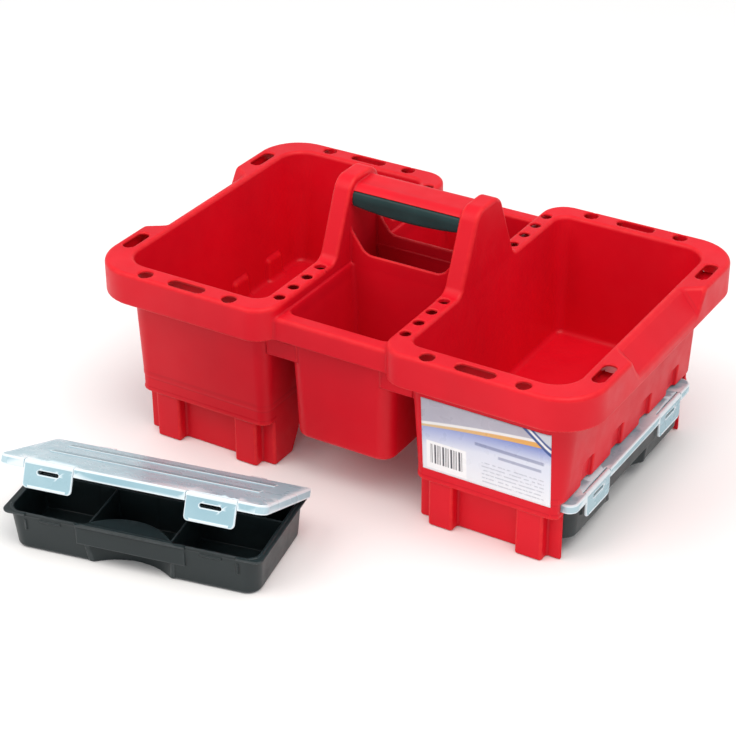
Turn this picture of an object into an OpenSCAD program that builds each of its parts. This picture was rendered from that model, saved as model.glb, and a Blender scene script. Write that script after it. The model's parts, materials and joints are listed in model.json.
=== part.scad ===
// Carry tote with two open bins, two tool pockets, a centre handle and two compartment organisers.
// One organiser is stowed in the bay under the right bin, the other stands open in front.
// Units are millimetres, +Z is up, and the set stands on z = 0.

/* [Tote] */
// Half of the tote's length over the rims
half_l = 251; // [245:1:257]
// Half of the tote's depth over the rims
half_d = 165; // [163:1:168]
// Height of the bin rims
rim_z = 183; // [180:1:188]
// Height of the skirt that hangs from a rim
skirt_h = 32; // [24:1:36]
// Wall thickness of the moulding
wall = 3; // [2.5:0.1:3.2]
// Height of a bin's underside, which is the ceiling of the bay below it
bay_z = 60; // [60:1:62]

/* [Pockets] */
// Height of a pocket's flange
pocket_z = 173; // [170:1:175]
// Height of a pocket's underside
pocket_floor_z = 47; // [40:1:55]

/* [Handle] */
// Height of the handle's top
handle_z = 247; // [240:1:255]
// Half of the handle bar's width
bar_y = 22; // [20:1:23]
// Distance from the middle to each panel's outer face
panel_y = 24.5; // [23.5:0.5:26]
// Height of the hand window's sill
sill_z = 184; // [180:1:190]

/* [Rim holes] */
// Diameter of the round holes for tool shafts
tool_hole_d = 14; // [10:0.5:15]
// Length of the slots along the front and rear
slot_l = 38; // [34:1:44]
// Width of every slot
slot_w = 12.5; // [10:0.5:13]
// Diameter of the small holes along the inner strips
bit_hole_d = 10.5; // [8:0.5:11]

/* [Organiser] */
// Half of the base's length at its flange
org_x = 121.5; // [120:0.5:122]
// Height of the base over its flange
org_h = 38; // [36:0.5:38]
// Angle that the standing organiser's lid is open by
lid_open = 24; // [0:1:60]

/* [Layout] */
// Distance from the set's middle back to the tote's middle
tote_y = 96; // [90:1:100]
// Sideways place of the organiser that stands in front
loose_x = -101.2; // [-104:0.1:-98]
// Its place from front to rear
loose_y = -178.3; // [-182:0.1:-174]
// Its turn about the vertical
loose_turn = 11.39; // [0:0.01:20]
// Sideways place of the organiser in the bay
stowed_x = 169; // [167:0.5:171]

/* [Hidden] */
$fn = 64;
eps = 0.01;
past = 1;
red = [0.82, 0.07, 0.09];
slate = [0.14, 0.17, 0.17];
dark_grey = [0.2, 0.21, 0.22];
clear_white = [0.86, 0.9, 0.94, 0.8];

// Bins: plan of the walls at the bay's ceiling, and how far they lean out over their height
strip_x = 55.5;
skirt_z = rim_z - skirt_h;
plate_z = rim_z - wall;
tub_in = 77;
tub_out = 220;
tub_y = 137;
lean_in = 6;
lean_out = 8;
lean_y = 8.5;
lean_h = plate_z - bay_z;
low_r = 11;
high_r = [13, 25, 25, 13];
groove_w = 21;
groove_deep = 3.5;
groove_h = 25;
groove_pitch = 59;
mouth_in = 74;
mouth_out = 225;
mouth_y = 142.5;

// Rims: where the holes are, and the dent in each outer flange that the fingers reach into
hole_row_y = 155.6;
tool_hole_x = [99.9, 190.3];
slot_x = 145.4;
side_slot_x = 238.5;
side_slot_y = 105;
bit_hole_x = 63.9;
bit_front_y = -129.9;
bit_rear_y = 132.8;
bit_pitch = 22.3;
dent_x = 232;
dent_z = 160;
dent_y = [64, 62, 78];

// Bay: where its walls lie under a bin
ledge_z = 50;
ledge_in = 122;
pad_y = 135.5;
pads = [[91, 115], [177, 203]];
bay_end = 216.5;
channel_y = 129;
doorway = [[-96, 0], [-80, 29], [-78, 46], [78, 46], [80, 29], [96, 0]];

// Shelf that closes the view under a side slot
shelf_z = 166.5;
shelf_l = 50;
shelf_w = 21.5;

// Post: half length at the rim and how fast it narrows upwards
post_foot = 50;
post_taper = 0.425;
post_x = 74;
post_top_r = 10;
post_z = handle_z + 6.5;

// Handle bar and the grip round its lower half
bar_low = handle_z - 17;
bar_r = 8;
grip_t = 2.5;
grip_x = 55.3;
grip_top = handle_z - 5;
grip_bow = 4;

// Organiser: half sizes of the body, the flange and the lid, in the organiser's own frame
body_low = [114.5, 52.5];
body_high = [117.5, 55.5];
body_r = 13;
inside_low = [112, 47];
inside_high = [114.6, 48.6];
inside_r = 9;
skin = 2;
lip_z = 18;
flange_front = 57.5;
lip_front = 56.6;
lip_x = 51;
scoop_low = [-1, -98.2, 58];
scoop_high = [-3, -87.4, 51.6];
lid_x = 123.5;
lid_front = 59.5;
lid_back = 53;
lid_z = 40.7;
lid_top = 43;
lid_skirt_z = 34.5;
lid_wall = 1.6;
hinge = [56.5, 38.5];
knuckle_r = 3;
pin_r = 1.5;
pin_gap = 0.08;
hinge_x = [60, 65, 81, 86];
side_gap = 0.4;
latch_x = 75;
latch_w = 46;
latch_pivot = [-57, 40.7];
latch_barrel_r = 2.2;
latch_pin_r = 1.2;
latch_low_z = 18;
latch_t = 2.2;
divider_t = 1.6;
long_divider_y = 8.5;
front_dividers = [-40.7, 37];
rear_dividers = [-58.5, -2, 54.5];

// A rectangle from [x0, y0] to [x1, y1] with its four corners rounded, counted from [x0, y0]
module rounded(x0, x1, y0, y1, r) {
    polygon([
        [x0 + r[0], y0], [x1 - r[1], y0], [x1, y0 + r[1]], [x1, y1 - r[2]],
        [x1 - r[2], y1], [x0 + r[3], y1], [x0, y1 - r[3]], [x0, y0 + r[0]]
    ]);
    translate([x0 + r[0], y0 + r[0]]) circle(r[0]);
    translate([x1 - r[1], y0 + r[1]]) circle(r[1]);
    translate([x1 - r[2], y1 - r[2]]) circle(r[2]);
    translate([x0 + r[3], y1 - r[3]]) circle(r[3]);
}

// A rounded rectangle with sides at half_x and half_y, as a sheet at height z for hull()
module sheet(z, half_x, half_y, r) {
    translate([0, 0, z])
        linear_extrude(eps) rounded(-half_x, half_x, -half_y, half_y, [r, r, r, r], $fn = 32);
}

module on_side(s) {
    mirror([s < 0 ? 1 : 0, 0, 0]) children();
}

module front_and_rear() {
    children();
    mirror([0, 1, 0]) children();
}

// ---- Bins, drawn for the right side ----

module tub_sheet(z, inset) {
    k = (z - bay_z) / lean_h;
    half_y = tub_y + lean_y * k - inset;
    r = [for (h = high_r) low_r + (h - low_r) * k + wall - inset];
    translate([0, 0, z])
        linear_extrude(eps)
            rounded(tub_in - lean_in * k + inset, tub_out + lean_out * k - inset, -half_y, half_y, r,
                $fn = 32);
}

module tub() {
    difference() {
        union() {
            difference() {
                hull() {
                    tub_sheet(bay_z, 0);
                    tub_sheet(plate_z - eps, 0);
                }
                hull() {
                    tub_sheet(bay_z + wall, wall);
                    tub_sheet(plate_z + past, wall);
                }
            }
            groove_blocks(tub_out - wall - groove_deep + 0.5, tub_out - 1, bay_z + eps, groove_w + 2 * wall);
        }
        groove_blocks(tub_out - groove_deep + 0.5, tub_out + 2 * wall, bay_z - past, groove_w);
    }
}

// The four grooves near the foot of a bin's outer wall
module groove_blocks(x0, x1, z0, w) {
    for (i = [-1.5:1:1.5])
        translate([x0, i * groove_pitch - w / 2, z0]) cube([x1 - x0, w, bay_z + groove_h - z0]);
}

module rim_outline(inset) {
    rounded(strip_x + inset, half_l - inset, -half_d + inset, half_d - inset,
        [24 - inset, 43 - inset, 43 - inset, 24 - inset]);
}

// The dent that the fingers reach into under a bin's outer flange, grown inwards by depth
module grip_dent(depth) {
    x0 = dent_x - past - depth;
    x1 = half_l + past;
    top = rim_z + past;
    low = dent_z - depth;
    y = dent_y;
    polyhedron(
        [[x0, -y[0], top], [x0, y[0], top], [x1, y[1], low], [x1, -y[1], low], [x1, y[2], top],
            [x1, -y[2], top]],
        [[3, 2, 1, 0], [1, 4, 5, 0], [3, 5, 4, 2], [2, 4, 1], [5, 3, 0]]
    );
}

module slot(length) {
    for (s = [-1, 1]) translate([s * (length - slot_w) / 2, 0, 0]) cylinder(h = wall + 2 * past, d = slot_w);
    translate([-(length - slot_w) / 2, -slot_w / 2, 0]) cube([length - slot_w, slot_w, wall + 2 * past]);
}

module rim_holes() {
    translate([0, 0, plate_z - past]) {
        for (s = [-1, 1]) {
            for (x = tool_hole_x)
                translate([x, s * hole_row_y, 0]) cylinder(h = wall + 2 * past, d = tool_hole_d);
            translate([slot_x, s * hole_row_y, 0]) slot(slot_l);
            translate([side_slot_x, s * side_slot_y, 0]) rotate([0, 0, 90]) slot(slot_l - 5);
        }
        for (i = [0:3]) {
            for (y = [bit_front_y + bit_pitch * i, bit_rear_y - bit_pitch * i])
                translate([bit_hole_x, y, 0]) cylinder(h = wall + 2 * past, d = bit_hole_d);
        }
    }
}

module rim() {
    difference() {
        translate([0, 0, plate_z]) linear_extrude(wall) rim_outline(0);
        grip_dent(0);
        translate([0, 0, plate_z - past])
            linear_extrude(wall + 2 * past) rounded(mouth_in, mouth_out, -mouth_y, mouth_y, high_r);
        rim_holes();
    }
}

module skirt() {
    difference() {
        union() {
            // A shelf under each side slot
            for (s = [-1, 1])
                block(half_l - shelf_w, half_l - wall + past, s * side_slot_y - shelf_l / 2,
                    s * side_slot_y + shelf_l / 2, shelf_z, shelf_z + wall);
            difference() {
                translate([0, 0, skirt_z]) linear_extrude(skirt_h - wall) rim_outline(0);
                translate([0, 0, skirt_z - past]) linear_extrude(skirt_h) rim_outline(wall);
            }
            intersection() {
                translate([0, 0, skirt_z]) linear_extrude(skirt_h - wall) rim_outline(0);
                grip_dent(wall);
            }
        }
        grip_dent(0);
    }
}

// ---- The walls of the bay under a bin ----

module block(x0, x1, y0, y1, z0, z1) {
    translate([x0, y0, z0]) cube([x1 - x0, y1 - y0, z1 - z0]);
}

module bay_front() {
    // Upper band, the ledge that an organiser hangs on, and the return at the open end
    block(tub_in, bay_end, -tub_y, -tub_y + wall, ledge_z, bay_z);
    block(tub_in, bay_end, -tub_y, -ledge_in, ledge_z - wall, ledge_z);
    block(bay_end - wall, bay_end, -tub_y + wall, -channel_y, ledge_z, bay_z);
    // Lower wall, set back between the pads
    block(tub_in, bay_end, -ledge_in - wall, -ledge_in, 0, ledge_z - wall);
    for (p = pads) {
        block(p[0], p[1], -pad_y, -pad_y + wall, 0, ledge_z - wall);
        block(p[0], p[0] + wall, -pad_y + wall, -ledge_in - wall, 0, ledge_z - wall);
        block(p[1] - wall, p[1], -pad_y + wall, -ledge_in - wall, 0, ledge_z - wall);
    }
}

module bay() {
    front_and_rear() bay_front();
    difference() {
        union() {
            block(tub_in, tub_in + wall, -tub_y + wall, tub_y - wall, ledge_z, bay_z);
            block(tub_in, tub_in + wall, -ledge_in, ledge_in, 0, ledge_z);
        }
        translate([tub_in - past, 0, -eps])
            rotate([90, 0, 90])
                linear_extrude(wall + 2 * past) polygon(doorway);
    }
}

// ---- Pocket, drawn for the front ----

module pocket_sheet(z, inset) {
    k = (z - pocket_floor_z) / (pocket_z - pocket_floor_z);
    half_x = 50 + 4 * k - inset;
    front = 134 + 4 * k - inset;
    back = 27 - 5.5 * k + inset;
    r = 15 - inset;
    translate([0, 0, z]) linear_extrude(eps) rounded(-half_x, half_x, -front, -back, [r, r, 1, 1], $fn = 32);
}

module pocket() {
    difference() {
        union() {
            hull() {
                pocket_sheet(pocket_floor_z, 0);
                pocket_sheet(pocket_z - wall, 0);
            }
            block(-strip_x, strip_x, -150, -panel_y + wall, pocket_z - wall, pocket_z);
            block(-strip_x, strip_x, -150, -150 + wall, skirt_z, pocket_z - wall);
            for (x = [-74.8, 43]) block(x, x + 31.8, -137, -134, 125, 143);
        }
        hull() {
            pocket_sheet(pocket_floor_z + wall, wall);
            pocket_sheet(pocket_z + past, wall);
        }
    }
}

// ---- Handle ----

// Outline of a post over the rim, seen along X and shrunk by inset
module post_outline(inset) {
    foot = post_foot - inset;
    top = post_foot - post_taper * (post_z - rim_z) - inset;
    top_z = post_z - inset;
    r = post_top_r - inset;
    polygon([[-foot, rim_z], [foot, rim_z], [top + post_taper * r, top_z - r], [top - r, top_z],
        [-top + r, top_z], [-top - post_taper * r, top_z - r]]);
    for (s = [-1, 1]) translate([s * (top - r + 0.35), top_z - r]) circle(r);
}

module post() {
    difference() {
        translate([strip_x, 0, 0])
            rotate([90, 0, 90]) linear_extrude(post_x - strip_x) post_outline(0);
        translate([strip_x + wall, 0, -eps])
            rotate([90, 0, 90]) linear_extrude(post_x - strip_x - 2 * wall) post_outline(wall);
    }
}

// Panel under the handle bar, with the lower edge of the hand window, drawn for the front
module panel() {
    translate([0, -panel_y + wall, 0])
        rotate([90, 0, 0])
            linear_extrude(wall)
                polygon([[-strip_x, pocket_z], [strip_x, pocket_z], [strip_x, sill_z + 22], [44, sill_z + 6],
                    [37, sill_z], [-37, sill_z], [-44, sill_z + 6], [-strip_x, sill_z + 22]]);
}

// Half outline of the bar with its top corners rounded
module bar_outline(half_w, low, top, r) {
    polygon([[-half_w, low], [half_w, low], [half_w, top - r], [half_w - r, top], [-half_w + r, top],
        [-half_w, top - r]]);
    for (s = [-1, 1]) translate([s * (half_w - r), top - r]) circle(r);
}

module along_bar(half_x) {
    translate([-half_x, 0, 0]) rotate([90, 0, 90]) linear_extrude(2 * half_x) children();
}

// What the grip leaves of the bar, as a bar of its own that is smaller all round
module bar_core() {
    along_bar(strip_x + past) bar_outline(bar_y - grip_t, bar_low, handle_z - grip_t, bar_r - grip_t);
}

module handle_bar() {
    half_cut = strip_x + past;
    color(red)
        translate([0, tote_y, 0])
            difference() {
                along_bar(strip_x) bar_outline(bar_y, bar_low, handle_z, bar_r);
                along_bar(strip_x + past) bar_outline(bar_y - 5, bar_low - past, handle_z - 5, bar_r - 5);
                difference() {
                    block(-half_cut, half_cut, -bar_y - past, bar_y + past, bar_low - past, grip_top);
                    bar_core();
                }
            }
}

// Sleeve round the bar's lower half, its underside bowed down towards the middle
module soft_grip() {
    bow_r = (grip_x * grip_x + grip_bow * grip_bow) / (2 * grip_bow);
    low = bar_low - grip_t;
    color(slate)
        translate([0, tote_y, 0])
            difference() {
                union() {
                    intersection() {
                        along_bar(grip_x) bar_outline(bar_y, low, handle_z, bar_r);
                        block(-grip_x, grip_x, -bar_y, bar_y, low, grip_top - 0.2);
                    }
                    intersection() {
                        block(-grip_x, grip_x, -bar_y, bar_y, low - grip_bow, low);
                        translate([0, bar_y, low - grip_bow + bow_r])
                            rotate([90, 0, 0]) cylinder(h = 2 * bar_y, r = bow_r, $fn = 192);
                    }
                }
                bar_core();
            }
}

module label() {
    color("white")
        translate([86, tote_y - tub_y, bay_z + 0.5])
            rotate([atan(lean_y / lean_h), 0, 0]) translate([0, -0.4, 0]) cube([122, 0.3, 72.5]);
}

// ---- Organisers, in their own frame: latches at the front, hinges at the rear ----

module at_latches() {
    for (s = [-1, 1]) translate([s * latch_x, 0, 0]) children();
}

// The finger hollow behind the front lip, a steep cone whose wall bulges into the middle compartment
module scoop(grow) {
    hull() {
        translate([scoop_low[0], scoop_low[1], -eps]) cylinder(h = eps, r = scoop_low[2] + grow, $fn = 96);
        translate([scoop_high[0], scoop_high[1], org_h - eps])
            cylinder(h = eps, r = scoop_high[2] + grow, $fn = 96);
    }
}

module body_solid() {
    hull() {
        sheet(0, body_low[0], body_low[1], body_r);
        sheet(org_h - eps, body_high[0], body_high[1], body_r);
    }
}

module inside() {
    hull() {
        sheet(skin, inside_low[0], inside_low[1], inside_r);
        sheet(org_h, inside_high[0], inside_high[1], inside_r);
    }
}

// What the scoop leaves open: all of it under the lip, and behind the lip up to the deck
module finger_room() {
    intersection() {
        scoop(0);
        union() {
            block(-60, 60, -60, 0, -past, lip_z);
            intersection() {
                translate([0, -6, 0]) inside();
                block(-60, 60, -60, 0, -past, org_h - skin);
            }
        }
    }
}

module org_base() {
    difference() {
        union() {
            difference() {
                union() {
                    body_solid();
                    translate([0, 0, org_h - skin])
                        linear_extrude(skin)
                            rounded(-org_x, org_x, -flange_front, body_high[1], [7, 7, 2, 2]);
                }
                inside();
            }
            intersection() {
                scoop(skin);
                body_solid();
            }
            block(-lip_x, lip_x, -lip_front, -53, lip_z, org_h - skin);
            at_latches() block(-10, 10, -lip_front, -54, 31.6, 34.4);
        }
        finger_room();
        at_latches() latch_notch(-body_high[1], org_h - skin);
        both_hinges()
            block(hinge_x[1], hinge_x[2], lid_back, hinge[0] + knuckle_r, org_h - wall, org_h + past);
    }
    both_hinges() base_hinge();
}

module both_hinges() {
    children();
    mirror([1, 0, 0]) children();
}

// The room that a latch takes from the edge of the flange or the lid, back to y1 and down to z0
module latch_notch(y1, z0) {
    block(-latch_w / 2 - side_gap, latch_w / 2 + side_gap, -lid_front - past, y1, z0, lid_top + past);
}

// Two lugs and the pin between them, for the right-hand hinge
module base_hinge() {
    for (x = [hinge_x[0], hinge_x[2]]) {
        translate([x, hinge[0], hinge[1]]) rotate([0, 90, 0]) cylinder(h = 5, r = knuckle_r);
        block(x, x + 5, 54, hinge[0] + 2, org_h - 5, org_h);
    }
    translate([hinge_x[1] - past, hinge[0], hinge[1]])
        rotate([0, 90, 0]) cylinder(h = hinge_x[2] - hinge_x[1] + 2 * past, r = pin_r);
}

module org_dividers() {
    low = skin + 0.05;
    difference() {
        union() {
            block(-111.9, 111.9, long_divider_y - divider_t / 2, long_divider_y + divider_t / 2,
                low, org_h - 1);
            for (x = front_dividers)
                block(x - divider_t / 2, x + divider_t / 2, -46.9, long_divider_y, low, org_h - 1);
            for (x = rear_dividers)
                block(x - divider_t / 2, x + divider_t / 2, long_divider_y, 46.9, low, org_h - 1);
        }
        scoop(skin + 0.05);
    }
}

module org_lid() {
    difference() {
        union() {
            difference() {
                translate([0, 0, lid_skirt_z])
                    linear_extrude(lid_top - lid_skirt_z)
                        rounded(-lid_x, lid_x, -lid_front, lid_back, [9, 9, 2, 2]);
                translate([0, 0, lid_skirt_z - past])
                    linear_extrude(lid_z - lid_skirt_z + past)
                        rounded(-lid_x + lid_wall, lid_x - lid_wall, -lid_front + lid_wall, lid_back + 3,
                            [7.4, 7.4, 1, 1]);
            }
            for (y = [-6, 30]) block(-84, 84, y - 2, y + 2, lid_top - past, lid_top + 0.8);
            both_hinges() lid_hinge();
        }
        both_hinges()
            translate([hinge_x[1], hinge[0], hinge[1]])
                rotate([0, 90, 0]) cylinder(h = hinge_x[2] - hinge_x[1], r = pin_r + pin_gap);
        at_latches() latch_notch(-54.4, lid_skirt_z - past);
    }
    at_latches()
        translate([-latch_w / 2 - side_gap - past, latch_pivot[0], latch_pivot[1]])
            rotate([0, 90, 0]) cylinder(h = latch_w + 2 * side_gap + 2 * past, r = latch_pin_r);
}

module lid_hinge() {
    w = hinge_x[2] - hinge_x[1] - 2 * side_gap;
    translate([hinge_x[1] + side_gap, hinge[0], hinge[1]]) rotate([0, 90, 0]) cylinder(h = w, r = knuckle_r);
    block(hinge_x[1] + side_gap, hinge_x[1] + side_gap + w, lid_back - past, hinge[0], lid_z, lid_top);
    block(hinge_x[1] + side_gap, hinge_x[1] + side_gap + w, hinge[0] - 2, hinge[0], hinge[1], lid_top);
}

// One latch: barrel on the lid's pin, plate and the slot that springs over the base's nub
module org_latch(s) {
    translate([s * latch_x, 0, 0])
        difference() {
            union() {
                translate([-latch_w / 2, latch_pivot[0], latch_pivot[1]])
                    rotate([0, 90, 0]) cylinder(h = latch_w, r = latch_barrel_r);
                block(-latch_w / 2, latch_w / 2, latch_pivot[0] - latch_t, latch_pivot[0], latch_low_z,
                    latch_pivot[1]);
            }
            translate([-latch_w / 2 - past, latch_pivot[0], latch_pivot[1]])
                rotate([0, 90, 0]) cylinder(h = latch_w + 2 * past, r = latch_pin_r + pin_gap);
            block(-10, 10, latch_pivot[0] - latch_t - past, latch_pivot[0] + past, 31.2, 34.8);
        }
}

module stowed() {
    translate([stowed_x, tote_y - 4, ledge_z - org_h + 4]) rotate([0, 0, 90]) children();
}

module loose() {
    translate([loose_x, loose_y, 0]) rotate([0, 0, loose_turn]) children();
}

module opened() {
    translate([0, hinge[0], hinge[1]])
        rotate([-lid_open, 0, 0])
            translate([0, -hinge[0], -hinge[1]]) children();
}

module tote_side(s) {
    color(red) translate([0, tote_y, 0]) on_side(s) children();
}

module tote_end(s) {
    color(red) translate([0, tote_y, 0]) mirror([0, s, 0]) children();
}

tote_side(-1) tub();  // left_tub
tote_side(1) tub();  // right_tub
tote_side(-1) rim();  // left_rim
tote_side(1) rim();  // right_rim
tote_side(-1) skirt();  // left_skirt
tote_side(1) skirt();  // right_skirt
tote_side(-1) bay();  // left_bay
tote_side(1) bay();  // right_bay
tote_end(0) pocket();  // front_pocket
tote_end(1) pocket();  // rear_pocket
tote_side(-1) post();  // left_post
tote_side(1) post();  // right_post
tote_end(0) panel();  // front_panel
tote_end(1) panel();  // rear_panel
handle_bar();
soft_grip();
label();
color(dark_grey) stowed() org_base();  // stowed_base
color(dark_grey) stowed() org_dividers();  // stowed_dividers
color(clear_white) stowed() org_lid();  // stowed_lid
color(clear_white) stowed() org_latch(-1);  // stowed_latch_front
color(clear_white) stowed() org_latch(1);  // stowed_latch_rear
color(dark_grey) loose() org_base();  // loose_base
color(dark_grey) loose() org_dividers();  // loose_dividers
color(clear_white) loose() opened() org_lid();  // loose_lid
color(clear_white) loose() opened() org_latch(-1);  // loose_latch_left
color(clear_white) loose() opened() org_latch(1);  // loose_latch_right
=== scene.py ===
import json
import math
import bpy
import numpy as np
from mathutils import Matrix, Vector


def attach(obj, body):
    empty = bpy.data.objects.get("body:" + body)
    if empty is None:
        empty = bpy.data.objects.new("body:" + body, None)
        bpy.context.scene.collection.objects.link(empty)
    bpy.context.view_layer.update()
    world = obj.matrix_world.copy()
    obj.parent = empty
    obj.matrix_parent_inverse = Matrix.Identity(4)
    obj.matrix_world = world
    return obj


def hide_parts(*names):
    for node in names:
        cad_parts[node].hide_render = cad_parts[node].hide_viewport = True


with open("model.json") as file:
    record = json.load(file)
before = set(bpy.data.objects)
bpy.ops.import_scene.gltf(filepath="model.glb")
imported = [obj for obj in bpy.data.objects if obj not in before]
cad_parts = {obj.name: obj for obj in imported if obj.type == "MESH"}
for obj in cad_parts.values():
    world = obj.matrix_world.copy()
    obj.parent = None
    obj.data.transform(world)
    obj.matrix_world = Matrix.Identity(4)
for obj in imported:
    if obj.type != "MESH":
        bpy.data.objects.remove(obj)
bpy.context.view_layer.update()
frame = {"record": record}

MM = 0.001
# The tote's middle, behind the set's middle
TOTE_Y = 96.0


# ---------------------------------------------------------------- distance fields, in millimetres

def cut(a, b, r):
    """Where both a and b are negative, with the edge between them rounded by r."""
    return np.minimum(np.maximum(a, b), -r) + np.hypot(np.maximum(a + r, 0), np.maximum(b + r, 0))


def join(a, b, r):
    """Where a or b is negative, with a fillet of r in the corner between them."""
    return -cut(-a, -b, r)


def plan(x, y, x0, x1, y0, y1, r):
    """A rectangle with round corners."""
    qx = np.abs(x - (x0 + x1) / 2) - (x1 - x0) / 2 + r
    qy = np.abs(y - (y0 + y1) / 2) - (y1 - y0) / 2 + r
    return np.minimum(np.maximum(qx, qy), 0) + np.hypot(np.maximum(qx, 0), np.maximum(qy, 0)) - r


def rod(u, v, r):
    return np.hypot(u, v) - r


def both(*fields):
    out = fields[0]
    for f in fields[1:]:
        out = np.maximum(out, f)
    return out


def either(*fields):
    out = fields[0]
    for f in fields[1:]:
        out = np.minimum(out, f)
    return out


# Tote: heights of the rims' top and underside, the skirts' lower edge and the bins' floors
RIM, PLATE, SKIRT, BAY = 183.0, 180.0, 151.0, 60.0
# Inner edge of a bin's rim, the tote's half length and half depth, and its wall
STRIP, HALF_L, HALF_D, WALL = 55.5, 251.0, 165.0, 3.0
POCKET, POCKET_FLOOR = 173.0, 47.0
# Handle: top of the bar and of the posts, half width of the bar and its underside
TOP, POST_TOP, BAR_Y, BAR_LOW = 247.0, 253.5, 22.0, 230.0
# Grip: half length, upper edge and thickness
GRIP_X, GRIP_TOP, GRIP_T = 55.3, 242.0, 2.4
# Holes in the rims: round ones, slots at the front and rear, and slots at the sides
HOLE_X, HOLE_Y, HOLE_R = (99.9, 190.3), 155.6, 6.7
SLOT_X, SLOT_HALF, SLOT_R = 145.4, 12.75, 6
SIDE_X, SIDE_Y, SIDE_HALF = 238.5, 105, 10.25
# Rows of four small holes beside the handle
BIT_X, BIT_R, BIT_PITCH, BIT_FRONT, BIT_REAR = 63.9, 5, 22.3, 129.9, 132.8
# Bay: where its walls end at the open side, the two feet of each wall and the ledge's inner edge
BAY_END, FEET, LEDGE_IN = 216.5, ((91, 115), (177, 203)), 122


def finger_dent(x, ay, z):
    slope = -((x - 232) * 22 + (z - RIM) * 19) / 29.07
    side = -(0.492 * (x - 232) - 0.719 * (ay - 64) + 0.490 * (z - RIM))
    return cut(slope, side, 2)


def bar_shape(ay, z, low, grow):
    return cut(cut(ay - BAR_Y - grow, z - TOP - grow, 12), low - z, 1.5)


def tote(x, y, z):
    x = np.abs(x)
    ay = np.abs(y)
    k = np.clip((z - BAY) / 120, 0, 1.03)
    kp = np.clip((z - POCKET_FLOOR) / 126, 0, 1.05)
    outside = x > 148
    # bins
    lean_y = 137 + 8.5 * k
    tub_r = np.where(outside, 12 + 16 * k, 11 + 5 * k)
    tub = plan(x, y, 77 - 6 * k, 220 + 8 * k, -lean_y, lean_y, tub_r)
    from_groove = np.minimum(np.abs(ay - 29.5), np.abs(ay - 88.5)) - 10.5
    groove = cut(cut(BAY_END + 8 * k - x, from_groove, 2), z - 85, 2)
    tub_solid = both(cut(cut(tub, -groove, 1.5), BAY - z, 4), z - 181)
    bin_room = cut(cut(tub + WALL, -(groove - WALL), 2), BAY + WALL - z, 5)
    # rims
    rim_plan = plan(x, y, STRIP, HALF_L, -HALF_D, HALF_D, np.where(outside, 43.0, 24.0))
    dent = finger_dent(x, ay, z)
    rim = cut(cut(rim_plan, z - RIM, 4), -dent, 2.5)
    under = cut(cut(rim_plan + WALL, z - PLATE, 3), -(dent - WALL), 2)
    rim = cut(cut(rim, -under, 1), SKIRT - z, 1.3)
    shelf = both(226 - x, rim_plan + 1.5, np.abs(z - 168) - 1.5, np.abs(ay - SIDE_Y) - 25)
    rim = either(rim, shelf)
    # posts, hollow from below
    side = (ay - 50 + 0.425 * (z - RIM)) * 0.9203
    head = cut(side, z - POST_TOP, 10)
    skyline = join(head, z - RIM, 6)
    post = both(cut(skyline, STRIP - x, 3), x - 76, 178 - z, ay - 66)
    hollow = both(head + WALL, np.abs(x - 64.75) - 6.25, 140 - z)
    body = both(either(rim, post), -hollow)
    # pockets
    back = 24.5 + 5.5 * (1 - np.clip(kp, 0, 1))
    corner = np.where(ay > 80, 15.0, 4.0)
    room_x = 47 + 4 * kp + 3.5 * kp ** 4
    front = 131 + 4 * kp
    wall = plan(x, ay, -room_x - WALL, room_x + WALL, back - WALL, front + WALL, corner)
    room = plan(x, ay, -room_x, room_x, back, front, corner - WALL * (ay > 80))
    pocket = both(cut(wall, POCKET_FLOOR - z, 5), z - 172)
    flange = both(cut(ay - 150, z - POCKET, 4), -cut(ay - 147, z - 170, 2))
    flange = both(flange, x - 59.5, SKIRT - z, 22.5 - ay)
    pocket = both(join(pocket, flange, 2), cut(z - POCKET, -cut(room, 50 - z, 4), 3))
    # what closes the gap between a pocket's wall and the skirt beside it
    seam = both(np.abs(x - 56) - 1.2, np.abs(z - 161.5) - 10.5, 24 - ay, ay - front - WALL)
    body = join(either(body, seam), pocket, 2)
    # panels with the hand window between them
    window = cut(184 - z, (x - 54) * 0.8137 - (z - 204) * 0.5812, 5)
    panel = both(cut(np.abs(ay - 23) - 1.5, -window, 1.4), x - 57, 170 - z)
    # no fillet where the panel runs on from the pocket's wall
    body = np.where(z > 175, join(body, panel, 2), either(body, panel))
    # handle bar, set in where the grip is
    bar = bar_shape(ay, z, BAR_LOW, 0)
    sleeve = both(x - GRIP_X, z - GRIP_TOP)
    bar = both(bar, -both(sleeve, -(bar + GRIP_T)), x - 58)
    body = join(body, bar, 1.5)
    # walls of the bays
    door = np.interp(z, [0, 29, 46], [96, 80, 78])
    shell = plan(x, y, 77, 240, -125, 125, 3)
    shell = both(shell, -(shell + WALL))
    feet = either(*[plan(x, ay, x0, x1, 100, 135.5, 2.5) for x0, x1 in FEET])
    feet = both(feet, -(feet + WALL), LEDGE_IN - ay)
    lower = both(join(shell, feet, 2), z - 48, x - BAY_END)
    lower = both(cut(lower, -z, 1), -both(cut(ay - door, z - 46, 8), x - 84))
    band_plan = plan(x, y, 77, 220, -137, 137, np.where(outside, 12.0, 11.0))
    band = both(cut(both(band_plan, -(band_plan + WALL)), 47 - z, 1), z - 66, x - BAY_END)
    band = both(band, -both(band_plan + WALL, z - BAY))
    ledge = both(band_plan, LEDGE_IN - ay, np.abs(z - 48.5) - 1.5, x - BAY_END)
    stop = both(np.abs(x - 215) - 1.5, band_plan, 129 - ay, np.abs(z - 54) - 7)
    bay = either(lower, join(band, ledge, 1.5), stop)
    body = join(either(body, bay), tub_solid, 1.2)
    # webs between the pockets and the bins
    webs = both(np.abs(x - 59) - 16, np.abs(ay - 135.5) - 1.5, np.abs(z - 134) - 9)
    body = join(body, webs, 1.5)
    body = both(body, cut(np.where(x < 100, skyline, z - RIM), -bin_room, 3.5))
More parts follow.
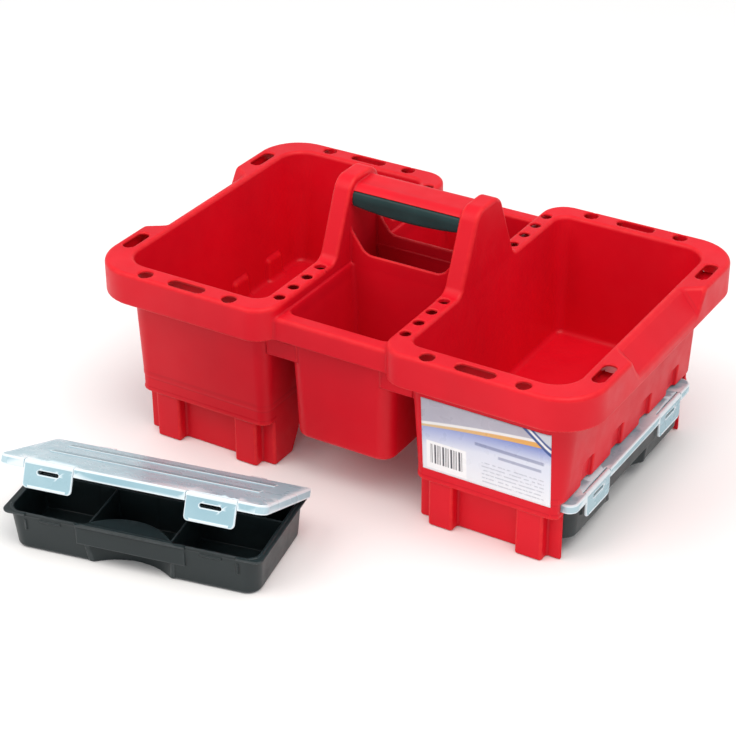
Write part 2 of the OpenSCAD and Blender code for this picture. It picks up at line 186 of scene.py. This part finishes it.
    # holes through the rims
    holes = either(
        *[rod(x - hole_x, ay - HOLE_Y, HOLE_R) for hole_x in HOLE_X],
        rod(np.maximum(np.abs(x - SLOT_X) - SLOT_HALF, 0), ay - HOLE_Y, SLOT_R),
        rod(x - SIDE_X, np.maximum(np.abs(ay - SIDE_Y) - SIDE_HALF, 0), SLOT_R),
        *[rod(x - BIT_X, y + BIT_FRONT - BIT_PITCH * i, BIT_R) for i in range(4)],
        *[rod(x - BIT_X, y - BIT_REAR + BIT_PITCH * i, BIT_R) for i in range(4)])
    return cut(body, -both(holes, 172 - z), 1.2)


def grip(x, y, z):
    ax, ay = np.abs(x), np.abs(y)
    low = BAR_LOW - 2.5 - 4 * (1 - np.clip(ax / GRIP_X, 0, 1) ** 2)
    shell = cut(cut(ay - BAR_Y - 0.25, z - TOP - 0.25, 12), low - z, 4)
    core = bar_shape(ay, z, BAR_LOW, 0) + GRIP_T - 0.1
    shell = cut(cut(shell, ax - GRIP_X + 0.3, 1), z - GRIP_TOP + 0.3, 0.8)
    return both(shell, -core)


# Organisers, in their own frame: latches at the front (-y), hinges at the rear.
# Height of the base, its floor's thickness and the lower edge of the front lip
ORG_H, SKIN, LIP_Z = 38.0, 2.0, 18.0
# Dividers: the long one and those in front of it and behind it
LONG_Y, FRONT_X, REAR_X = 8.5, (-40.7, 37.0), (-58.5, -2.0, 54.5)
# Hinges: middle of each, its axis and the radius of its knuckles
HINGE_X, HINGE_Y, HINGE_Z, KNUCKLE_R = 73, 56.5, 38.5, 3
LATCH_X, LATCH_Y, LATCH_Z = 75.0, -57.0, 40.7
# Half the gap that a latch stands in
LATCH_GAP = 23.4
# The two long ribs on a lid
RIBS_Y = (-6, 30)


def organiser(x, y, z):
    k = np.clip(z / ORG_H, 0, 1)
    ax = np.abs(x)
    wall = plan(x, y, -114.5 - 3 * k, 114.5 + 3 * k, -52.5 - 3 * k, 52.5 + 3 * k, 13.0)
    outer = both(cut(wall, -z, 2.2), z - ORG_H)
    flange = both(cut(plan(x, y, -121.5, 121.5, -57.5, 55.5, 7.0), np.abs(z - 37) - 1, 0.7))
    lip = cut(both(ax - 51, np.abs(z - 27) - 9, y + 50), -56.6 - y, 1.2)
    front_rib = both(np.abs(ax - 99) - 1, np.abs(z - 26.2) - 5.2, -56.0 - y, y + 50)
    body = join(join(outer, flange, 1.2), either(lip, front_rib), 0.8)
    room = plan(x, y, -112.3 - 2.6 * k, 112.3 + 2.6 * k, -50.3 - 3 * k, 50.3 + 2.6 * k, 11.0)
    body = cut(body, -cut(room, SKIN - z, 2.5), 0.7)
    walls = np.abs(y - LONG_Y) - 0.85
    for d in FRONT_X:
        walls = join(walls, both(np.abs(x - d) - 0.85, y - LONG_Y), 1)
    for d in REAR_X:
        walls = join(walls, both(np.abs(x - d) - 0.85, LONG_Y - y), 1)
    walls = both(cut(walls, z - 37, 0.5), wall + 1)
    body = join(body, walls, 1)
    # finger hollow under the lip, with its own bulging wall and a deck over it
    hollow = rod(x + 1 + 2 * k, y + 98.2 - 10.8 * k, 58 - 6.4 * k)
    bulge = both(cut(hollow - 2, z - ORG_H, 0.7), wall, -z)
    body = join(body, bulge, 1.5)
    scoop = both(hollow, either(z - LIP_Z, both(z - 36, -53.4 - 1.4 * k - y)))
    body = cut(body, -scoop, 0.8)
    nubs = both(np.abs(ax - LATCH_X) - 10, np.abs(z - 33) - 1.4, -55.9 - y, y + 53)
    knuckle = rod(y - HINGE_Y, z - HINGE_Z, KNUCKLE_R)
    foot = both(np.abs(y - 56.2) - 2.2, np.abs(z - 35.5) - 2.5)
    lugs = both(either(np.abs(ax - 62.5) - 2.5, np.abs(ax - 83.5) - 2.5), either(knuckle, foot))
    pin = both(np.abs(ax - HINGE_X) - 9, rod(y - HINGE_Y, z - HINGE_Z, 1.5))
    gap = both(np.abs(ax - LATCH_X) - LATCH_GAP, -75.5 - y, y + 55.5, 36 - z)
    notch = both(np.abs(ax - HINGE_X) - 8, 53 - y, 35 - z)
    return either(both(body, -gap, -notch), nubs, lugs, pin)


def lid(x, y, z):
    ax = np.abs(x)
    outline = plan(x, y, -123.5, 123.5, -59.5, 53, np.where(y < 0, 9.0, 2.5))
    shell = cut(cut(outline, z - 43, 1.4), 34.5 - z, 0.5)
    inside = cut(plan(x, y, -121.9, 121.9, -57.9, 60, 7.4), z - 40.7, 1)
    ribs = either(*[both(np.abs(y - rib_y) - 5, ax - 99) for rib_y in RIBS_Y])
    ribs = cut(cut(ribs, z - 43.8, 0.7), 42 - z, 0.1)
    body = join(cut(shell, -inside, 0.4), ribs, 0.8)
    hinge = both(np.abs(ax - HINGE_X) - 7.6, either(
        rod(y - HINGE_Y, z - HINGE_Z, KNUCKLE_R),
        both(np.abs(z - 41.85) - 1.15, 52 - y, y - HINGE_Y),
        both(np.abs(y - 55.5) - 1, HINGE_Z - z, z - 43)))
    body = either(body, hinge)
    body = both(body, -both(np.abs(ax - HINGE_X) - 8, rod(y - HINGE_Y, z - HINGE_Z, 1.58)))
    body = both(body, -both(np.abs(ax - LATCH_X) - LATCH_GAP, y + 54.4))
    pins = both(np.abs(ax - LATCH_X) - 24.4, rod(y - LATCH_Y, z - LATCH_Z, 1.2))
    return either(body, pins)


def latch(x, y, z):
    plate = both(np.abs(y - LATCH_Y + 1.1) - 1.1, z - LATCH_Z)
    corners = plan(x, z, -23, 23, 18, 60, 4.0)
    plate = cut(corners, plate, 0.6)
    slot_gap = rod(np.maximum(np.abs(x) - 8.2, 0), z - 33, 1.8)
    lower = cut(np.abs(z - 19.8) - 1.0, np.abs(y + 59.1) - 0.5, 0.4)
    ridge = both(lower, np.abs(x) - 18)
    barrel = both(rod(y - LATCH_Y, z - LATCH_Z, 2.2), np.abs(x) - 23)
    body = join(join(plate, barrel, 1), ridge, 0.5)
    body = cut(body, -slot_gap, 0.4)
    return both(body, -rod(y - LATCH_Y, z - LATCH_Z, 1.28))


# ---------------------------------------------------------------- from a field to a mesh

def sample(field, low, high, h):
    axes = [np.arange(a - 1.5 * h, b + 2.5 * h, h, dtype=np.float32) for a, b in zip(low, high)]
    out = np.empty([len(a) for a in axes], np.float32)
    for i in range(0, len(axes[0]), 12):
        x, y, z = np.meshgrid(axes[0][i:i + 12], axes[1], axes[2], indexing="ij")
        out[i:i + 12] = field(x, y, z)
    return out, np.array([a[0] for a in axes], float)


def net(f, origin, h):
    """One point for each grid cell that the surface runs through, joined in quads."""
    s = f < 0
    shift = [(i, j, k) for i in (0, 1) for j in (0, 1) for k in (0, 1)]
    n = [c - 1 for c in f.shape]
    count = sum(s[i:i + n[0], j:j + n[1], k:k + n[2]].astype(np.uint8) for i, j, k in shift)
    cells = np.argwhere((count > 0) & (count < 8))
    index = np.full(n, -1, np.int32)
    index[tuple(cells.T)] = np.arange(len(cells))
    corner = {c: f[tuple((cells + c).T)] for c in shift}
    total, hits = np.zeros((len(cells), 3)), np.zeros(len(cells))
    for a in shift:
        for axis in range(3):
            if a[axis]:
                continue
            b = tuple(a[m] + (m == axis) for m in range(3))
            fa, fb = corner[a], corner[b]
            crossed = (fa < 0) != (fb < 0)
            t = np.where(crossed, fa / np.where(crossed, fa - fb, 1), 0)
            point = np.tile(np.array(a, float), (len(cells), 1))
            point[:, axis] += t
            total += point * crossed[:, None]
            hits += crossed
    points = origin + h * (cells + total / hits[:, None])
    quads = []
    for axis in range(3):
        u, v = (axis + 1) % 3, (axis + 2) % 3
        first = [slice(None)] * 3
        second = [slice(None)] * 3
        first[axis], second[axis] = slice(0, -1), slice(1, None)
        edge = np.argwhere(s[tuple(first)] != s[tuple(second)])
        edge = edge[(edge[:, u] > 0) & (edge[:, v] > 0) & (edge[:, u] < n[u]) & (edge[:, v] < n[v])]
        du, dv = np.eye(3, dtype=int)[u], np.eye(3, dtype=int)[v]
        ring = [edge - du - dv, edge - dv, edge, edge - du]
        quad = np.stack([index[tuple(c.T)] for c in ring], 1)
        inside = s[tuple(edge.T)]
        quads.append(np.where(inside[:, None], quad, quad[:, ::-1]))
    quads = np.concatenate(quads)
    return points, quads[(quads >= 0).all(1)]


def slope(field, p, d=0.05):
    g = np.empty_like(p)
    for axis in range(3):
        step = np.zeros(3)
        step[axis] = d
        g[:, axis] = (field(*(p + step).T) - field(*(p - step).T)) / (2 * d)
    return g


def settle(field, p, reach, rounds=3):
    """Moves points onto the surface."""
    for _ in range(rounds):
        f = field(*p.T)
        g = slope(field, p)
        move = f[:, None] * g / np.maximum((g * g).sum(1), 0.2)[:, None]
        length = np.linalg.norm(move, axis=1, keepdims=True)
        p = p - move * np.minimum(1, reach / np.maximum(length, 1e-9))
    return p


def make_mesh(name, points, faces):
    mesh = bpy.data.meshes.new(name)
    mesh.vertices.add(len(points))
    mesh.vertices.foreach_set("co", points.astype(np.float32).ravel())
    mesh.loops.add(faces.size)
    mesh.loops.foreach_set("vertex_index", faces.astype(np.int32).ravel())
    mesh.polygons.add(len(faces))
    starts = np.arange(0, faces.size, faces.shape[1], dtype=np.int32)
    mesh.polygons.foreach_set("loop_start", starts)
    mesh.update()
    mesh.validate()
    return mesh


def read(items, key, width, kind=np.float32):
    values = np.empty(len(items) * width, kind)
    items.foreach_get(key, values)
    return values.reshape(-1, width)


def set_normals(mesh, normals):
    """Gives the corners the surface's own normals, turned over on slivers that lie face down."""
    corner = read(mesh.loops, "vertex_index", 1, np.int32)[:, 0]
    start = read(mesh.polygons, "loop_start", 1, np.int32)[:, 0]
    size = read(mesh.polygons, "loop_total", 1, np.int32)[:, 0]
    facing = np.repeat(read(mesh.polygons, "normal", 3), size, 0)
    at_corner = normals[corner]
    agree = np.add.reduceat((facing * at_corner).sum(1), start)
    at_corner[np.repeat(agree < 0, size)] *= -1
    mesh.normals_split_custom_set(at_corner.tolist())


def read_points(mesh):
    return read(mesh.vertices, "co", 3).astype(float)


def shape(name, field, low, high, h, faces, mirror=False):
    """The field's surface as a mesh of at most that many faces, with the field's own normals."""
    if mirror:
        # the grid's planes lie half a step off the middle, so that the two halves meet
        values, origin = sample(field, (0, low[1], low[2]), high, h)
        values = values[2:]
        values = np.concatenate([values[::-1], values])
        origin[0] = h / 2 - h * (len(values) // 2)
    else:
        values, origin = sample(field, low, high, h)
    points, quads = net(values, origin, h)
    points = settle(field, points, 0.6 * h, 2)
    mesh = make_mesh(name, points, quads)
    piece = bpy.data.objects.new(name, mesh)
    bpy.context.scene.collection.objects.link(piece)
    if 2 * len(quads) > faces:
        thin = piece.modifiers.new("thin", "DECIMATE")
        thin.ratio = faces / (2 * len(quads))
        thin.use_collapse_triangulate = True
        bpy.context.view_layer.update()
        seen = piece.evaluated_get(bpy.context.evaluated_depsgraph_get())
        done = bpy.data.meshes.new_from_object(seen)
        piece.modifiers.clear()
        piece.data = done
        bpy.data.meshes.remove(mesh)
        mesh = done
        mesh.name = name
    points = read_points(mesh)
    g = slope(field, points)
    normals = g / np.maximum(np.linalg.norm(g, axis=1, keepdims=True), 1e-6)
    mesh.polygons.foreach_set("use_smooth", np.ones(len(mesh.polygons), bool))
    mesh.update()
    set_normals(mesh, normals)
    # how sharply the surface bends: above 0 on edges, below 0 in corners
    bend, d = np.zeros(len(points)), 0.8
    for axis in range(3):
        step = np.zeros(3)
        step[axis] = d
        bend += (field(*(points + step).T) + field(*(points - step).T)) / d ** 2
    edge = mesh.attributes.new("edge", "FLOAT", "POINT")
    edge.data.foreach_set("value", np.clip(bend * 2.5, -1, 1).astype(np.float32))
    print(name, len(quads), "->", len(mesh.polygons))
    return piece


def place(piece, matrix):
    """Writes a matrix, in mm, into the mesh, and scales it to metres."""
    piece.data.transform(Matrix.Scale(MM, 4) @ matrix)
    return piece


def copy_of(piece, name):
    twin = bpy.data.objects.new(name, piece.data.copy())
    bpy.context.scene.collection.objects.link(twin)
    return twin


at_tote = Matrix.Translation((0, TOTE_Y, 0))


# ---------------------------------------------------------------- materials

class Look:
    """A material and short names for the nodes that it is made of."""

    def __init__(self, name, color=(0.8, 0.8, 0.8), rough=0.4, **sockets):
        self.material = bpy.data.materials.new(name)
        self.material.use_nodes = True
        self.tree = self.material.node_tree
        self.shader = next(n for n in self.tree.nodes if n.type == "BSDF_PRINCIPLED")
        self.shader.inputs["Base Color"].default_value = (*color, 1)
        self.shader.inputs["Roughness"].default_value = rough
        for key, value in sockets.items():
            self.shader.inputs[key.replace("_", " ")].default_value = value

    def put(self, socket, value):
        if isinstance(value, bpy.types.NodeSocket):
            self.tree.links.new(value, socket)
        else:
            socket.default_value = value

    def node(self, kind, **inputs):
        n = self.tree.nodes.new(kind)
        for key, value in inputs.items():
            self.put(n.inputs[key.replace("_", " ")], value)
        return n

    def math(self, op, a, b=0.0, clamp=False):
        n = self.tree.nodes.new("ShaderNodeMath")
        n.operation, n.use_clamp = op, clamp
        self.put(n.inputs[0], a)
        self.put(n.inputs[1], b)
        return n.outputs[0]

    def scaled(self, value, a0, a1, b0, b1):
        n = self.node("ShaderNodeMapRange", Value=value, From_Min=a0, From_Max=a1,
                      To_Min=b0, To_Max=b1)
        return n.outputs["Result"]

    def mix(self, share, a, b):
        n = self.tree.nodes.new("ShaderNodeMix")
        n.data_type = "RGBA"
        for socket, value in zip((n.inputs["Factor"], n.inputs[6], n.inputs[7]), (share, a, b)):
            self.put(socket, (*value, 1) if isinstance(value, tuple) else value)
        return n.outputs[2]

    def spots(self, scale, detail=2.0, stretch=(1, 1, 1), rough=0.5):
        place_in = self.node("ShaderNodeTexCoord").outputs["Object"]
        if stretch != (1, 1, 1):
            m = self.node("ShaderNodeMapping", Vector=place_in)
            m.inputs["Scale"].default_value = stretch
            place_in = m.outputs[0]
        return self.node("ShaderNodeTexNoise", Vector=place_in, Scale=scale, Detail=detail,
                         Roughness=rough).outputs["Fac"]

    def bump(self, height, strength, distance, before=None):
        n = self.node("ShaderNodeBump", Height=height, Strength=strength, Distance=distance)
        if before is not None:
            self.put(n.inputs["Normal"], before)
        return n.outputs[0]

    def curvature(self):
        # How sharply the surface bends, from the 'edge' attribute: it masks painted highlights on
        # convex edges and painted shade in concave corners.
        n = self.node("ShaderNodeAttribute")
        n.attribute_name = "edge"
        return n.outputs["Fac"]

    def finish(self, **sockets):
        for key, value in sockets.items():
            self.put(self.shader.inputs[key.replace("_", " ")], value)
        return self.material


def moulded(name, color, highlight_color, shade_color, rough, grain, grain_size, sockets):
    """Moulded plastic: fine grain, faint flow marks, a painted highlight on convex edges and
    painted shade in concave corners.
    """
    look = Look(name, color, **sockets)
    curvature = look.curvature()
    cloud = look.spots(9, 3)
    flow = look.spots(30, 3, (1, 1, 0.22))
    base = look.mix(look.scaled(cloud, 0.35, 0.65, 0, 1), tuple(c * 0.93 for c in color),
                    tuple(min(1, c * 1.06) for c in color))
    base = look.mix(look.scaled(flow, 0.45, 0.8, 0, 0.25), base, tuple(c * 0.84 for c in color))
    # Painted highlight: a paler colour on convex edges, broken up by spots.
    convex_share = look.scaled(curvature, 0.25, 1, 0, 0.75)
    edge_highlight = look.math("MULTIPLY", convex_share, look.scaled(look.spots(160, 2), 0.3, 0.7, 0.25, 1))
    base = look.mix(edge_highlight, base, highlight_color)
    # Painted shade: a darker colour in concave corners.
    base = look.mix(look.scaled(curvature, -0.2, -1, 0, 0.5), base, shade_color)
    skin = look.bump(look.spots(grain_size, 2.5), grain, 0.00012)
    skin = look.bump(look.spots(26, 1), 0.18, 0.0012, skin)
    shine = look.scaled(look.spots(55, 3), 0.3, 0.7, rough - 0.05, rough + 0.08)
    return look.finish(Base_Color=base, Roughness=shine, Normal=skin)


# Own colour, then a paler colour for the painted highlight on edges and a darker one for the
# painted shade in corners.
red = moulded("red_polypropylene", (0.67, 0.0035, 0.015), (0.78, 0.025, 0.026),
              (0.46, 0.002, 0.011), 0.42, 0.28, 1400, {"Specular_IOR_Level": 0.22})
dark = moulded("charcoal_polypropylene", (0.014, 0.022, 0.024), (0.050, 0.060, 0.064),
               (0.005, 0.009, 0.010), 0.34, 0.35, 1700, {"Specular_IOR_Level": 0.34})


def rubber():
    look = Look("soft_touch_rubber", (0.010, 0.026, 0.027), Specular_IOR_Level=0.22)
    cloud = look.spots(40, 3)
    base = look.mix(look.scaled(cloud, 0.35, 0.7, 0, 1), (0.008, 0.028, 0.029),
                    (0.012, 0.039, 0.040))
    # Painted highlight: a paler colour on the grip's convex edges.
    base = look.mix(look.scaled(look.curvature(), 0.2, 1, 0, 0.5), base, (0.030, 0.052, 0.054))
    skin = look.bump(look.spots(1900, 3), 0.5, 0.00015)
    shine = look.scaled(look.spots(90, 2), 0.3, 0.7, 0.42, 0.58)
    return look.finish(Base_Color=base, Roughness=shine, Normal=skin)


def frosted():
    look = Look("frosted_polypropylene", (0.50, 0.62, 0.69), Specular_IOR_Level=0.4)
    cloud = look.spots(14, 3)
    base = look.mix(look.scaled(cloud, 0.3, 0.7, 0, 1), (0.29, 0.47, 0.55), (0.38, 0.56, 0.63))
    # Painted highlight: a whiter colour on the lid's convex edges.
    base = look.mix(look.scaled(look.curvature(), 0.1, 0.9, 0, 0.8), base, (0.82, 0.88, 0.92))
    skin = look.bump(look.spots(1500, 3), 0.25, 0.0001)
    shine = look.scaled(look.spots(60, 2), 0.3, 0.7, 0.22, 0.36)
    thin = look.node("ShaderNodeAttribute")
    thin.attribute_name = "thin"
    clear = look.math("ADD", look.scaled(look.curvature(), 0.0, 0.8, 0, 0.12),
                      look.scaled(look.spots(20, 2), 0.3, 0.7, 0.94, 0.98))
    clear = look.math("SUBTRACT", clear, look.math("MULTIPLY", thin.outputs["Fac"], 0.3), True)
    return look.finish(Base_Color=base, Roughness=shine, Normal=skin, Alpha=clear)


rubber_look, frost = rubber(), frosted()


# ---------------------------------------------------------------- pieces

def finish_piece(piece, body, slot, look, *nodes):
    piece.data.materials.clear()
    piece.data.materials.append(look)
    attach(piece, body)
    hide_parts(*nodes)
    return piece


# A step over 1.7 would bridge a slanted wall's two faces
TOTE_STEP, GRIP_STEP, LATCH_STEP = 1.6, 1.2, 0.6
TRAY_STEP, LID_STEP = ((0.95, 0.8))
# The most faces that a piece may have
TOTE_FACES, GRIP_FACES, TRAY_FACES, LID_FACES, LATCH_FACES = 195000, 24000, 70000, 50000, 9000

tote_piece = place(shape("tote_moulding", tote, (-HALF_L, -HALF_D, 0), (HALF_L, HALF_D, POST_TOP),
                         TOTE_STEP, TOTE_FACES, mirror=True), at_tote)
TOTE_NODES = [n for n in frame["record"]["behaviour"]["bodies"]["tote"]
              if n not in ("soft_grip", "label")]
finish_piece(tote_piece, "tote", "tote_plastic", red, *TOTE_NODES)

grip_piece = place(shape("grip_sleeve", grip, (-GRIP_X, -23, 223), (GRIP_X, 23, GRIP_TOP),
                         GRIP_STEP, GRIP_FACES), at_tote)
finish_piece(grip_piece, "tote", "soft_grip", rubber_look, "soft_grip")


def turned(degrees, axis):
    return Matrix.Rotation(math.radians(degrees), 4, axis)


# Where the organisers are, and the loose one's lid, open by LID_OPEN degrees
LID_OPEN = 24
stowed_at = Matrix.Translation((169, 92, 16)) @ turned(90, "Z")
loose_at = Matrix.Translation((-101.2, -178.3, 0)) @ turned(11.39, "Z")
hinge_at = Matrix.Translation((0, HINGE_Y, HINGE_Z))
open_lid = loose_at @ hinge_at @ turned(-LID_OPEN, "X") @ hinge_at.inverted()

tray = shape("stowed_tray", organiser, (-121.5, -57.5, 0), (121.5, 60, 42), TRAY_STEP, TRAY_FACES)
loose_tray = copy_of(tray, "loose_tray")
finish_piece(place(tray, stowed_at), "stowed_organiser", "organiser_plastic", dark,
             "stowed_base", "stowed_dividers")
finish_piece(place(loose_tray, loose_at), "loose_organiser", "organiser_plastic", dark,
             "loose_base", "loose_dividers")

cover = shape("stowed_cover", lid, (-123.5, -59.5, 34.5), (123.5, 60, 44), LID_STEP, LID_FACES)
# "thin" is 1 on the lid's two ribs, which let more light through
co = read_points(cover.data)
from_rib = np.minimum(*[np.abs(co[:, 1] - rib_y) for rib_y in RIBS_Y])
thin = np.clip((5.5 - from_rib) / 1.5, 0, 1) * np.clip((100 - np.abs(co[:, 0])) / 3, 0, 1)
thin = (thin * (co[:, 2] > 40)).astype(np.float32)
cover.data.attributes.new("thin", "FLOAT", "POINT").data.foreach_set("value", thin)
loose_cover = copy_of(cover, "loose_cover")
finish_piece(place(cover, stowed_at), "stowed_organiser", "clear_lid_plastic", frost, "stowed_lid")
finish_piece(place(loose_cover, open_lid), "loose_lid", "clear_lid_plastic", frost, "loose_lid")

clasp = shape("clasp", latch, (-23, -59.6, 17.5), (23, -54.5, 43), LATCH_STEP, LATCH_FACES)
for name, side, where in (("stowed_latch_front", -1, stowed_at),
                          ("stowed_latch_rear", 1, stowed_at),
                          ("loose_latch_left", -1, open_lid),
                          ("loose_latch_right", 1, open_lid)):
    at_latch = where @ Matrix.Translation((side * LATCH_X, 0, 0))
    one = place(copy_of(clasp, name + "_piece"), at_latch)
    finish_piece(one, name, "clear_lid_plastic", frost, name)
bpy.data.objects.remove(clasp)


# ---------------------------------------------------------------- printed label

def label_mesh():
    """A thin film laid on the right bin's front, with flat coordinates for the print."""
    nu, nv = 64, 40
    u, v = np.meshgrid(np.linspace(0, 1, nu), np.linspace(0, 1, nv), indexing="ij")
    x, z = 86.5 + 124 * u.ravel(), 59 + 74 * v.ravel()
    layers = []
    for gap in (0.32, 0.06):
        y = np.full(len(x), -150.0)
        for _ in range(60):
            y += 0.8 * (tote(x, y, z) - gap)
        layers.append(np.stack([x, y, z], 1))
    index = np.arange(nu * nv).reshape(nu, nv)
    front = np.stack([index[:-1, :-1], index[1:, :-1], index[1:, 1:], index[:-1, 1:]], -1)
    front = front.reshape(-1, 4)
    ring = np.concatenate([index[:, 0], index[-1, 1:], index[-2::-1, -1], index[0, -2:0:-1]])
    after = np.roll(ring, -1)
    edges = np.stack([ring, ring + nu * nv, after + nu * nv, after], 1)
    faces = np.concatenate([front, front[:, ::-1] + nu * nv, edges])
    mesh = make_mesh("label_film", np.concatenate(layers), faces)
    flat = np.tile(np.stack([u.ravel(), v.ravel()], 1), (2, 1))
    corner = read(mesh.loops, "vertex_index", 1, np.int32)[:, 0]
    uv = flat[corner].astype(np.float32).ravel()
    mesh.uv_layers.new(name="print").data.foreach_set("uv", uv)
    mesh.polygons.foreach_set("use_smooth", np.arange(len(faces)) < 2 * len(front))
    piece = bpy.data.objects.new("label_film", mesh)
    bpy.context.scene.collection.objects.link(piece)
    return piece


def label_look():
    """The print: a band, a bar pattern, title bars and fine lines, none of them lettering."""
    look = Look("printed_film", (0.86, 0.88, 0.92), 0.32)
    uv = look.node("ShaderNodeUVMap")
    uv.uv_map = "print"
    apart = look.node("ShaderNodeSeparateXYZ", Vector=uv.outputs[0])
    u, v = apart.outputs[0], apart.outputs[1]
    white, navy = (0.88, 0.89, 0.92), (0.03, 0.08, 0.28)

    def also(a, b):
        return look.math("MULTIPLY", a, b)

    def above(value, level, soft=0.006):
        return look.scaled(value, level - soft, level + soft, 0, 1)

    def band(value, low, high, soft=0.006):
        return also(above(value, low, soft), look.math("SUBTRACT", 1.0, above(value, high, soft)))

    def box(u0, u1, v0, v1):
        return also(band(u, u0, u1), band(v, v0, v1))

    def noise(at, scale, **more):
        return look.node("ShaderNodeTexNoise", Vector=at, Scale=scale, **more).outputs["Fac"]

    # how far a point lies over the band's rising line
    rise = look.math("SUBTRACT", also(u, 0.33), also(also(u, u), 0.09))
    line = look.math("SUBTRACT", v, look.math("ADD", rise, 0.635))
    over = above(line, 0.0)
    # blue that deepens towards the line, and silver over it
    base = look.mix(look.scaled(v, 0.0, 0.5, 0, 1), (0.84, 0.85, 0.88), (0.72, 0.75, 0.86))
    deep = also(look.scaled(line, -0.30, -0.03, 0, 1), look.scaled(u, -0.2, 1.0, 0.45, 1))
    base = look.mix(deep, base, (0.055, 0.135, 0.55))
    base = look.mix(over, base, (0.46, 0.45, 0.53))
    silver = look.mix(over, base, (0.56, 0.55, 0.62))
    base = look.mix(look.scaled(noise(uv.outputs[0], 9.0), 0.4, 0.7, 0, 0.3), base, silver)
    # the orange band, wider to the right, and the white line over it
    half = also(look.scaled(u, 0, 1, 0.035, 0.075), 0.5)
    from_band = look.math("ABSOLUTE", look.math("ADD", line, half))
    amber = look.mix(look.scaled(u, 0, 0.8, 0, 1), (0.70, 0.52, 0.30), (0.80, 0.40, 0.09))
    base = look.mix(look.math("LESS_THAN", from_band, half), base, amber)
    base = look.mix(band(line, -0.004, 0.034), base, (0.88, 0.87, 0.86))
    # stripes across the far top corner
    slant = look.math("ADD", v, also(u, 1.4))
    base = look.mix(above(slant, 2.215, 0.01), base, (0.62, 0.65, 0.72))
    for low, high, ink in ((2.10, 2.15, navy), (2.15, 2.19, white), (2.19, 2.225, navy)):
        base = look.mix(band(slant, low, high, 0.008), base, ink)
    # title bars
    for u0, u1, v0, v1, ink in ((0.42, 0.95, 0.555, 0.60, 0.495), (0.60, 0.93, 0.45, 0.49, 0.4675)):
        base = look.mix(also(box(u0, u1, v0, v1), ink), base, (0.03, 0.05, 0.20))
    # bar pattern on a white field
    base = look.mix(box(0.035, 0.35, 0.03, 0.42), base, (0.93, 0.93, 0.94))
    wobble = also(look.math("SINE", also(u, 97.0)), 2.6)
    stripes = look.math("SINE", look.math("ADD", also(u, 390), wobble))
    bars = also(box(0.065, 0.32, 0.11, 0.38), above(stripes, 0.1, 0.3))
    base = look.mix(bars, base, (0.10, 0.10, 0.12))
    # rows of fine broken lines
    rows = band(look.math("FRACT", also(v, 19.0)), 0.32, 0.62, 0.12)
    stretched = look.node("ShaderNodeMapping", Vector=uv.outputs[0], Scale=(46, 19, 1))
    dashes = above(noise(stretched.outputs[0], 1.0, Detail=1.0), 0.42, 0.05)
    fine = also(also(rows, dashes), box(0.47, 0.95, 0.06, 0.38))
    base = look.mix(also(fine, 0.6), base, (0.35, 0.37, 0.44))
    paper = look.bump(look.spots(420, 3), 0.12, 0.0002)
    shine = look.scaled(look.spots(70, 2), 0.3, 0.7, 0.24, 0.36)
    return look.finish(Base_Color=base, Roughness=shine, Normal=paper)


finish_piece(place(label_mesh(), at_tote), "tote", "printed_label", label_look(), "label")


# ---------------------------------------------------------------- floor, lights, camera

def floor():
    half, low = 6.0, -0.0006
    corners = [[-half, -half, low], [half, -half, low], [half, half, low], [-half, half, low]]
    mesh = make_mesh("floor", np.array(corners), np.array([[0, 1, 2, 3]]))
    piece = bpy.data.objects.new("floor", mesh)
    bpy.context.scene.collection.objects.link(piece)
    look = Look("pale_floor", (0.93, 0.93, 0.93), 0.6, Specular_IOR_Level=0.2)
    tone = look.mix(look.spots(1.5, 2), (0.92, 0.92, 0.925), (0.945, 0.945, 0.945))
    mesh.materials.append(look.finish(Base_Color=tone))


def lamp(name, place_at, size, power):
    """A round, slightly warm area light that points at the object."""
    data = bpy.data.lights.new(name, "AREA")
    data.shape, data.size, data.energy, data.color = "DISK", size, power, (1.0, 0.95, 0.9)
    light = bpy.data.objects.new(name, data)
    light.location = place_at
    towards = Vector(LAMP_TARGET) - Vector(place_at)
    light.rotation_euler = towards.to_track_quat("-Z", "Y").to_euler()
    bpy.context.scene.collection.objects.link(light)


def camera(azimuth, elevation, roll, distance, target, lens):
    """A camera at these degrees and metres from the target."""
    az, el, ro = (math.radians(a) for a in (azimuth, elevation, roll))
    back = Vector((math.sin(az) * math.cos(el), -math.cos(az) * math.cos(el), math.sin(el)))
    right = (-back).cross(Vector((0, 0, 1))).normalized()
    up = right.cross(-back)
    right, up = (right * math.cos(ro) + up * math.sin(ro),
                 up * math.cos(ro) - right * math.sin(ro))
    data = bpy.data.cameras.new("camera")
    data.sensor_width, data.lens = 36, lens
    data.clip_end = 50
    eye = bpy.data.objects.new("camera", data)
    eye.matrix_world = Matrix.Translation(Vector(target) + back * distance) @ Matrix(
        (right, up, back)).transposed().to_4x4()
    bpy.context.scene.collection.objects.link(eye)
    bpy.context.scene.camera = eye


LAMP_TARGET = (0, 0, 0.1)

floor()
lamp("key", place_at=(1.0, -0.4, 2.7), size=2.4, power=48)
lamp("fill", place_at=(-1.2, -1.5, 2.2), size=2.2, power=27)
world = bpy.data.worlds.new("studio")
world.use_nodes = True
sky = world.node_tree.nodes["Background"].inputs
sky["Color"].default_value, sky["Strength"].default_value = (0.97, 0.985, 1, 1), 0.72
bpy.context.scene.world = world
bpy.context.scene.view_settings.view_transform = "Standard"
camera(azimuth=31.3312, elevation=30.1258, roll=-0.2733, distance=1.9984,
       target=(-0.052555, 0.096, 0.049033), lens=102.70)
